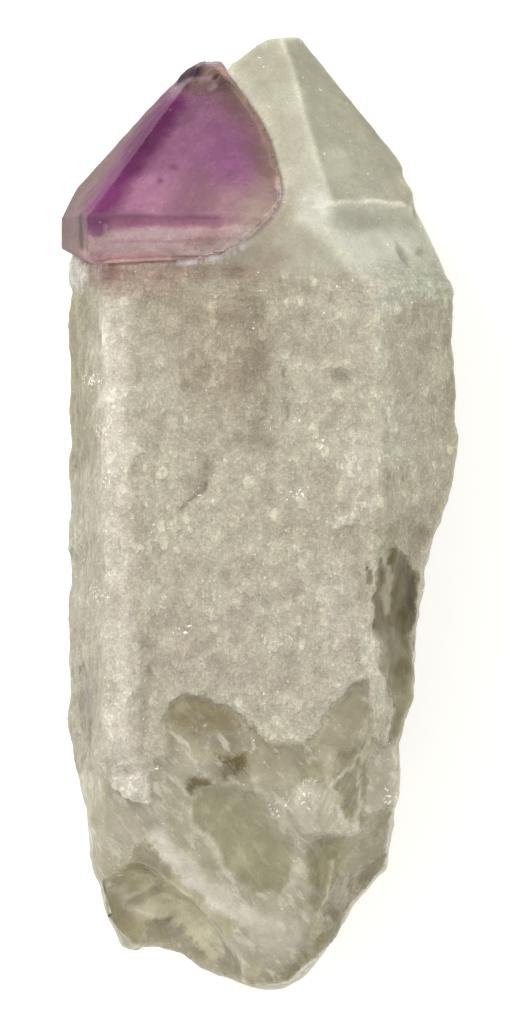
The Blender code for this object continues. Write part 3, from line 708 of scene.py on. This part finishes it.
def followOutline(points):
    # move the sides so that the outline runs as the viewer sees it
    u, v = seenPlaces(points)
    total = np.zeros(len(points))
    for side, rows in outlineShifts.items():
        heights, edges, distances = np.array(sorted(rows)).T
        inside = (np.interp(v, heights, edges) - u) * (1 if side == "right" else -1)
        total += np.interp(v, heights, distances) * smoothStep(*stemLook["outlineReach"], inside)
    toRight = np.array([math.cos(viewer["tilt"]), 0, -math.sin(viewer["tilt"])])
    return points + total[:, None] * toRight


def meetCap(points, normals, u, v):
    # widen the part under the cap, and close the joint beside it
    step = 0.05
    inside = insidePatch(u, v, capOutline)
    acrossU = (insidePatch(u + step, v, capOutline) - insidePatch(u - step, v, capOutline)) / 2 / step
    acrossV = (insidePatch(u, v + step, capOutline) - insidePatch(u, v - step, capOutline)) / 2 / step
    tilt = viewer["tilt"]
    inwards = np.stack([acrossU * math.cos(tilt), acrossV, -acrossU * math.sin(tilt)], 1)
    core = smoothStep(-0.1, 0.3, inside)
    rim = smoothStep(-0.6, -0.25, inside) * (1 - core)
    sideways = inwards * (rim * stemLook["joinWidth"])[:, None]
    return points + sideways + normals * (core * stemLook["underCapHeight"])[:, None]


def makeStem():
    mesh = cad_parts["quartz_stem"].data.copy()
    stem = evenMesh(linkObject("milky_quartz_stem", mesh), stemLook["spacing"])
    mesh = stem.data
    points = followOutline(smoothed(mesh, getPoints(mesh), stemLook["smoothing"]))
    setPoints(mesh, points)
    normals = getNormals(mesh)
    u, v = seenPlaces(points)
    seen = smoothStep(0.02, 0.25, normals @ toViewer)
    wander = stemLook["wander"]
    wander = wander * (1 - 0.8 * smoothStep(22.0, 25.0, v))
    u = u + wander * (bumps(points, 2.8, 3, 71.0) + 0.3 * bumps(points, 0.9, 2, 73.0))
    v = v + wander * (bumps(points, 2.8, 3, 83.0) + 0.3 * bumps(points, 0.9, 2, 87.0))
    edgeLine = insidePatch(u, v, breakZone)
    behind = smoothStep(-26.0, -27.5, v + bumps(points, 5.0, 2, 3.0) * 3)
    broken = seen * smoothStep(-0.3, 0.3, edgeLine) + (1 - seen) * behind
    relief = stemRelief(points, u, v, broken, seen)
    away = smoothStep(-0.1, -0.9, insidePatch(*seenPlaces(points), capOutline))
    points = meetCap(points + normals * (relief * away)[:, None], normals, *seenPlaces(points))
    points = keepInBox(points, "quartz_stem")
    setPoints(mesh, points)
    # how far each point stands above its neighbours, which sets the painted shade and light
    around = smoothed(mesh, points, 12)
    hollow = np.einsum("ij,ij->i", points - around, getNormals(mesh))
    paintStem(mesh, points, getNormals(mesh), u, v, broken, seen, hollow)
    mesh.shade_smooth()
    mesh.materials.clear()
    mesh.materials.append(quartzMaterial())
    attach(stem, "root")
    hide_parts("quartz_stem")
    print("stem:", len(mesh.polygons), "faces")


# The cap

capLook = {
    "spacing": 0.2,
    "smoothing": 1,
    "baseLine": 31.0,
    "rimRounding": 0.6,
    "pits": 0.05,
    "leftRounding": 0.62,
    "middle": (190, 128, 163),
    "apex": (112, 80, 70),
    "rim": (172, 138, 126),
    "fading": (206, 188, 178),
    "prism": (232, 202, 196),
    "prismLeft": (164, 140, 130),
    "sliver": (166, 140, 130),
    "back": (170, 110, 150),
    "rimTint": (152, 130, 112),
    "fadedTint": (210, 188, 178),
    "edgeBelow": (192, 154, 152),
    "matte": 0.65,
    "clearness": 0.75,
    "shine": 0.05,
    "absorption": (0.70, 0.45, 0.68),
    "density": 22,
    "apexFrom": (43.0, 45.0),
    "prismBelow": (30.4, 29.7),
    "grain": 0.16,
    "fineGrain": 0.45,
    "patches": 2.2,
    "sparkleSize": 0.35,
    "ior": 1.55,
    "bumpDepth": 0.05,
    "sparkle": (0.95, 0.9, 0.95),
}

# Marks on the cap: shape, colour, strength, softness and height, as on the stem
capMarks = {
    "pink glow": (("oval", -11.4, 33.2, 3.6, 2.2, 20), (236, 172, 202), 0.9, 1.4, 0),
    "deep band": (("line", [(-16.7, 31.7), (-15.2, 33.7), (-13.2, 36.9), (-10.8, 40.4),
        (-9.0, 43.0)], 1.4), (150, 24, 128), 0.97, 1.1, 0),
    "deepest": (("oval", -11.4, 39.4, 4.2, 1.4, 55), (116, 8, 94), 1.0, 0.8, 0),
    "low purple": (("oval", -14.6, 30.4, 2.6, 0.9, 0), (130, 56, 112), 0.8, 0.6, 0),
    "dark spot at the apex": (("oval", -7.4, 45.9, 1.7, 1.1, 50), (48, 0, 36), 1.0, 0.3, 0),
    "worn below the apex": (("oval", -6.2, 44.6, 1.6, 0.7, 20), (190, 150, 142), 0.7, 0.5, 0),
    "purple at the left": (("oval", -16.8, 30.0, 1.3, 1.2, 0), (146, 76, 124), 0.85, 0.4, 0),
    "pale middle right": (("oval", -3.6, 32.5, 2.4, 1.8, 0), (218, 180, 178), 0.85, 1.5, 0),
    "brown strip": (("line", [(-3.2, 43.0), (-1.6, 40.4), (-0.6, 37.6)], 0.9),
        (146, 104, 104), 0.75, 0.9, 0),
    "pale prism zone": (("oval", -11.4, 28.9, 3.2, 1.1, 0), (242, 216, 214), 0.8, 0.8, 0),
    "dull prism zone": (("oval", -4.4, 28.2, 2.4, 1.0, 0), (164, 124, 116), 0.85, 0.7, 0),
    "fading right": (("oval", 0.6, 30.4, 2.6, 3.4, 12), (230, 208, 188), 0.85, 1.8, 0),
    "fading below": (("oval", -2.6, 28.0, 3.6, 1.2, 20), (236, 220, 212), 0.8, 1.0, 0),
    "violet glow": (("oval", -3.4, 37.8, 2.6, 3.4, 0), (176, 104, 160), 0.7, 2.0, 0),
    "dull middle": (("oval", -6.4, 33.2, 2.8, 2.2, 0), (178, 128, 138), 0.6, 1.6, 0),
    "speck": (("oval", -10.3, 34.7, 0.35, 0.3, 0), (110, 50, 84), 0.8, 0.25, -0.06),
    "second speck": (("oval", -8.9, 36.1, 0.5, 0.35, -20), (130, 70, 102), 0.7, 0.3, -0.06),
    "base line": (("line", [(-17.6, 30.9), (-11.0, 30.85), (-4.2, 30.8)], 0.25),
        (140, 76, 112), 0.85, 0.25, 0),
    "band under it": (("line", [(-15.0, 30.3), (-4.2, 30.2)], 0.45), (186, 120, 146), 0.7, 0.3, 0),
    "ledge": (("line", [(-15.5, 28.4), (-10.0, 28.3), (-2.5, 28.6)], 0.12),
        (172, 132, 134), 0.6, 0.2, -0.06),
    "upright step": (("line", [(-16.0, 30.0), (-15.9, 26.8)], 0.15), (214, 190, 190), 0.7, 0.2, 0.08),
    "left seam": (("line", [(-18.6, 31.2), (-18.5, 27.8)], 0.22), (104, 84, 86), 0.8, 0.2, -0.12),
    "lower tip": (("oval", -16.9, 26.4, 0.9, 0.9, 0), (186, 132, 150), 0.7, 0.4, 0),
    "white chip": (("oval", -8.7, 44.1, 0.9, 0.35, 45), (196, 176, 180), 0.6, 0.3, -0.06),
    "chipped line": (("line", [(-9.0, 44.3), (-7.4, 45.4), (-5.0, 45.6)], 0.2),
        (170, 146, 150), 0.6, 0.25, -0.06),
    "apex pit": (("oval", -4.5, 45.7, 0.35, 0.2, 45), (70, 52, 52), 0.9, 0.15, -0.2),
    "second chip": (("oval", -4.9, 44.7, 0.45, 0.25, 40), (210, 196, 190), 0.7, 0.25, -0.1),
}


def paintCap(mesh, points, normals, u, v):
    look = capLook
    rim = insidePatch(u, v, capOutline)
    colours = np.tile(linear(*look["middle"]), (len(points), 1))
    colours = mix(colours, linear(*look["rim"]), smoothStep(3.8, 1.2, rim) * smoothStep(-7, -2, u))
    colours = mix(colours, linear(*look["apex"]), smoothStep(*look["apexFrom"], v))
    colours = mix(colours, linear(*look["prism"]), smoothStep(*look["prismBelow"], v))
    wobble = bumps(points, 1.8, 3, 6.0) * 0.5
    front = smoothStep(0.0, 0.2, normals @ toViewer)
    left = smoothStep(-0.3, -0.5, normals[:, 0])
    colours = mix(colours, linear(*look["sliver"]), left)
    colours = mix(colours, linear(*look["prismLeft"]), left * smoothStep(31.2, 30.8, v))
    for shape, colour, strength, edge, _ in capMarks.values():
        inside = insideShape(u, v, shape) + wobble * min(1, edge)
        amount = smoothStep(-edge, edge, inside) * strength * front
        colours = mix(colours, linear(*colour), amount)
    fading = smoothStep(2.0, -0.2, rim) * smoothStep(34, 30, v + 0.5 * u) * smoothStep(-19, -13, u)
    colours = mix(colours, linear(*look["fading"]), fading * 0.9 * front)
    colours = mix(colours, linear(*look["back"]), smoothStep(-0.2, -0.5, normals @ toViewer))
    edgeOn = smoothStep(1.0, 0.3, rim + wobble) * smoothStep(-19.5, -17.5, u)
    edgeTint = np.tile(linear(*look["fadedTint"]), (len(points), 1))
    edgeTint = mix(edgeTint, linear(*look["rimTint"]), smoothStep(33, 37, v))
    edgeTint = mix(edgeTint, linear(*look["edgeBelow"]), smoothStep(-2, -6, u))
    colours = mix(colours, edgeTint, edgeOn)
    storeColour(mesh, "tint", colours)
    prismZone = smoothStep(*look["prismBelow"], v) * front
    apexZone = smoothStep(44.6, 45.6, v - 0.25 * u - 1.6)
    milky = (1 - 0.85 * edgeOn) * (1 - 0.15 * left) * (1 - 0.12 * prismZone) * (1 - 0.7 * apexZone)
    storeNumber(mesh, "clearness", look["clearness"] * milky)
    edgeLine = smoothStep(0.5, 0.2, np.abs(v - look["baseLine"])) * front
    storeNumber(mesh, "matte", np.maximum(np.maximum(left, edgeOn), edgeLine))


def amethystMaterial():
    look = capLook
    material, tree, shader = newMaterial("amethyst")
    place = addNode(tree, "TexCoord").outputs["Object"]
    grain = noiseAt(tree, place, look["grain"], 2, 0.6)
    fine = noiseAt(tree, place, look["fineGrain"], 3, 0.6)
    middle = noiseAt(tree, place, look["patches"], 3, 0.6)
    shade = sums(tree, "MULTIPLY", mottled(tree, ((fine, 0.1), (grain, 0.1))),
                 ramped(tree, middle, 0.3, 0.7, 0.88, 1.1))
    base = mixed(tree, 1.0, attribute(tree, "tint", "Color"), shade, "MULTIPLY")
    # painted glints: rare white specks for tiny facets that catch the light
    cells = addNode(tree, "TexVoronoi", Vector=place, Scale=1 / look["sparkleSize"] / mm)
    pick = addNode(tree, "SeparateColor", Color=cells.outputs["Color"]).outputs[0]
    sparkle = ramped(tree, cells.outputs["Distance"], 0.3, 0.15)
    sparkle = sums(tree, "MULTIPLY", ramped(tree, pick, 0.988, 0.992), sparkle)
    base = mixed(tree, sparkle, base, look["sparkle"])
    tree.links.new(base, shader.inputs["Base Color"])
    polished = ramped(tree, middle, 0.3, 0.7, 0.15, 0.32)
    rough = between(tree, attribute(tree, "matte"), polished, look["matte"])
    tree.links.new(rough, shader.inputs["Roughness"])
    height = sums(tree, "ADD", fine, sums(tree, "MULTIPLY", middle, 0.8))
    bump = addNode(tree, "Bump", Height=height, Strength=0.5, Distance=look["bumpDepth"] * mm)
    tree.links.new(bump.outputs["Normal"], shader.inputs["Normal"])
    tree.links.new(attribute(tree, "clearness"), shader.inputs["Transmission Weight"])
    shader.inputs["Specular IOR Level"].default_value = look["shine"]
    shader.inputs["IOR"].default_value = look["ior"]
    volume = addNode(tree, "VolumeAbsorption")
    volume.inputs["Color"].default_value = (*look["absorption"], 1)
    volume.inputs["Density"].default_value = look["density"]
    tree.links.new(volume.outputs["Volume"], tree.nodes["Material Output"].inputs["Volume"])
    return material


def outerHull(mesh):
    # keep only the outer skin, because the stem's tip fills the hollow
    bm = bmesh.new()
    bm.from_mesh(mesh)
    bmesh.ops.remove_doubles(bm, verts=bm.verts[:], dist=0.001 * mm)
    bmesh.ops.delete(bm, geom=bm.faces[:], context="FACES_ONLY")
    bmesh.ops.convex_hull(bm, input=bm.verts[:])
    loose = [vertex for vertex in bm.verts if not vertex.link_faces]
    bmesh.ops.delete(bm, geom=loose, context="VERTS")
    bm.to_mesh(mesh)
    bm.free()


def makeCap():
    look = capLook
    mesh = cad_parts["amethyst_cap"].data.copy()
    outerHull(mesh)
    cap = evenMesh(linkObject("amethyst_crystal", mesh), look["spacing"])
    mesh = cap.data
    points = smoothed(mesh, getPoints(mesh), look["smoothing"])
    setPoints(mesh, points)
    normals = getNormals(mesh)
    u, v = seenPlaces(points)
    rim = insidePatch(u, v, capOutline)
    relief = bumps(points, 2.5, 3, 51.0) * look["pits"]
    upTheLeft = smoothStep(31.0, 46.0, v) * smoothStep(48.0, 46.0, v)
    upTheLeft = upTheLeft * smoothStep(-0.15, -0.45, normals[:, 0])
    relief += look["leftRounding"] * upTheLeft
    alongRim = smoothStep(1.4, -0.2, rim) ** 2 * smoothStep(0.3, 0.7, normals @ toViewer)
    relief -= look["rimRounding"] * alongRim
    front = smoothStep(0.3, 0.6, normals[:, 2])
    for shape, _, _, edge, height in capMarks.values():
        if height:
            relief += height * smoothStep(-edge, edge, insideShape(u, v, shape)) * front
    worn = smoothStep(42.5, 45.5, v)
    relief -= worn * np.abs(bumps(points, 2.0, 2, 61.0)) * 0.15
    points = keepInBox(points + normals * relief[:, None], "amethyst_cap")
    setPoints(mesh, points)
    paintCap(mesh, points, getNormals(mesh), *seenPlaces(points))
    mesh.shade_smooth()
    mesh.materials.clear()
    mesh.materials.append(amethystMaterial())
    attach(cap, "root")
    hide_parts("amethyst_cap")
    print("cap:", len(mesh.polygons), "faces")


# The floor, the light and the camera

studio = {
    "floor": 0.9,
    "floorGlow": 0.38,
    "world": 0.72,
    "key": 8.0,
    "fill": 3.0,
    "cameraDistance": 2.0,
    "seenHeight": 107.4,
    "aimU": -0.68,
    "aimV": 0.157,
    "aimZ": 15.0,
}


def makeFloor():
    bm = bmesh.new()
    bmesh.ops.create_grid(bm, x_segments=8, y_segments=8, size=6.0)
    mesh = bpy.data.meshes.new("floor")
    bm.to_mesh(mesh)
    bm.free()
    floor = linkObject("floor", mesh)
    floor.location.z = -0.0001
    material, tree, shader = newMaterial("floor")
    shader.inputs["Base Color"].default_value = (studio["floor"],) * 3 + (1,)
    shader.inputs["Roughness"].default_value = 0.9
    shader.inputs["Emission Color"].default_value = (1, 1, 1, 1)
    shader.inputs["Emission Strength"].default_value = studio["floorGlow"]
    mesh.materials.append(material)


def addLamp(name, place, size, power):
    light = bpy.data.lights.new(name, "AREA")
    light.shape = "DISK"
    light.size = size
    light.energy = power
    lamp = linkObject(name, light)
    lamp.location = place
    lamp.rotation_euler = (-Vector(place)).to_track_quat("-Z", "Y").to_euler()
    lamp.visible_camera = False


def lightScene():
    world = bpy.data.worlds.new("studio")
    world.use_nodes = True
    world.node_tree.nodes["Background"].inputs["Color"].default_value = (1, 1, 1, 1)
    world.node_tree.nodes["Background"].inputs["Strength"].default_value = studio["world"]
    bpy.context.scene.world = world
    addLamp("key", (-0.55, 0.75, 0.95), 0.7, studio["key"])
    addLamp("fill", (0.9, -0.3, 0.8), 0.8, studio["fill"])
    bpy.context.scene.view_settings.view_transform = "Standard"


def makeCamera():
    tiltSin, tiltCos = math.sin(viewer["tilt"]), math.cos(viewer["tilt"])
    aimX = (studio["aimU"] + studio["aimZ"] * tiltSin) / tiltCos - viewer["x"]
    aim = Vector((aimX, studio["aimV"] - viewer["y"], studio["aimZ"])) * mm
    data = bpy.data.cameras.new("camera")
    data.sensor_width = 36
    data.lens = data.sensor_width * studio["cameraDistance"] / (studio["seenHeight"] * mm)
    data.clip_start, data.clip_end = 0.1, 50
    camera = linkObject("camera", data)
    camera.location = aim + Vector(toViewer) * studio["cameraDistance"]
    camera.rotation_euler = (0, viewer["tilt"], 0)
    bpy.context.scene.camera = camera


makeCamera()
makeStem()
makeCap()
makeFloor()
lightScene()
